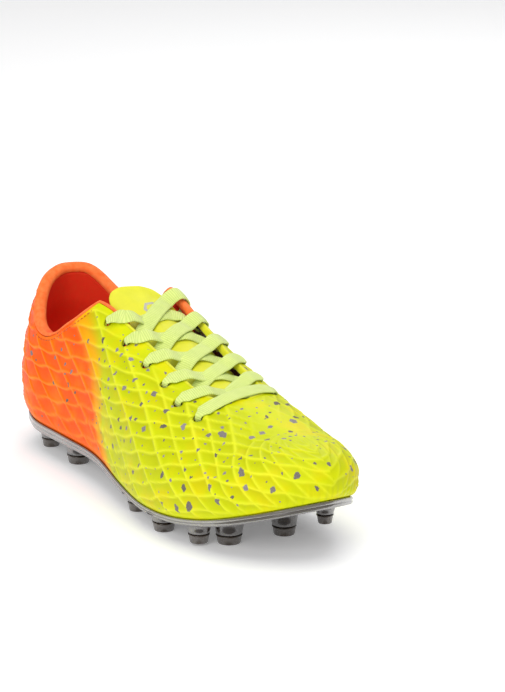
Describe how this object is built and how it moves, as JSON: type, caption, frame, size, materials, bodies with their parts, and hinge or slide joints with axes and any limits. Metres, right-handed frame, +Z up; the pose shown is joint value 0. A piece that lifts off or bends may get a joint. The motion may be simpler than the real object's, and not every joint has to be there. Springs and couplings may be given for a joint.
{
  "type": "laced soccer cleat",
  "caption": "Low-cut laced soccer cleat for the right foot: moulded textured upper on a studded sole plate, with a padded collar, a tongue and a removable insole.",
  "frame": {"origin": "middle of the footprint box on the ground", "axes": "+X towards the toe, +Y towards the inner side of the foot, +Z up"},
  "size_m": [0.2874, 0.0924, 0.104],
  "materials": {
    "plate": "smoky translucent plastic with a pale grey rim",
    "stud_tip": "translucent brown-grey plastic, slightly scuffed",
    "board": "pressed fibre board",
    "insole_foam": "closed-cell foam",
    "insole_cover": "brushed knit",
    "skin": "satin synthetic skin with raised ridges, orange towards the heel",
    "stiffener": "pressed thermoplastic sheet",
    "backing": "woven backing",
    "padding": "soft open foam",
    "collar": "soft brushed synthetic suede",
    "lining": "soft brushed synthetic suede",
    "tongue_skin": "smooth soft synthetic",
    "lace": "flat woven polyester",
    "aglet": "clear tipped film"
  },
  "bodies": {
    "boot": {"outsole_plate": "plate", "stud_tip_heel_rear_outer": "stud_tip", "stud_tip_heel_rear_inner": "stud_tip", "stud_tip_heel_front_outer": "stud_tip", "stud_tip_heel_front_inner": "stud_tip", "stud_tip_forefoot_rear_outer": "stud_tip", "stud_tip_forefoot_rear_inner": "stud_tip", "stud_tip_forefoot_mid_outer": "stud_tip", "stud_tip_forefoot_mid_inner": "stud_tip", "stud_tip_forefoot_front_outer": "stud_tip", "stud_tip_forefoot_front_inner": "stud_tip", "stud_tip_forefoot_centre_outer": "stud_tip", "stud_tip_forefoot_centre_inner": "stud_tip", "lasting_board": "board", "upper_skin": "skin", "heel_counter": "stiffener", "toe_puff": "stiffener", "upper_backing": "backing", "eyestay_outer": "backing", "eyestay_inner": "backing", "collar_padding": "padding", "collar_roll": "collar", "quarter_lining": "lining", "vamp_lining": "lining", "lace": "lace", "aglet_outer": "aglet", "aglet_inner": "aglet"},
    "tongue": {"tongue_face": "tongue_skin", "tongue_foam": "padding", "tongue_lining": "lining"},
    "insole": {"sockliner": "insole_foam", "sockliner_cover": "insole_cover"}
  },
  "joints": [
    {"name": "tongue_hinge", "type": "hinge", "parent": "boot", "child": "tongue", "pos_m": [0.06975, 0.008, 0.0565], "axis": [0, 1, 0], "range_deg": [-10, 0], "stiffness_Nm_per_rad": 0.2, "springref_deg": 8.59},
    {"name": "sockliner_lift", "type": "hinge", "parent": "boot", "child": "insole", "pos_m": [0.1368, 0.0085, 0.0345], "axis": [0, 1, 0], "range_deg": [0, 6]}
  ]
}
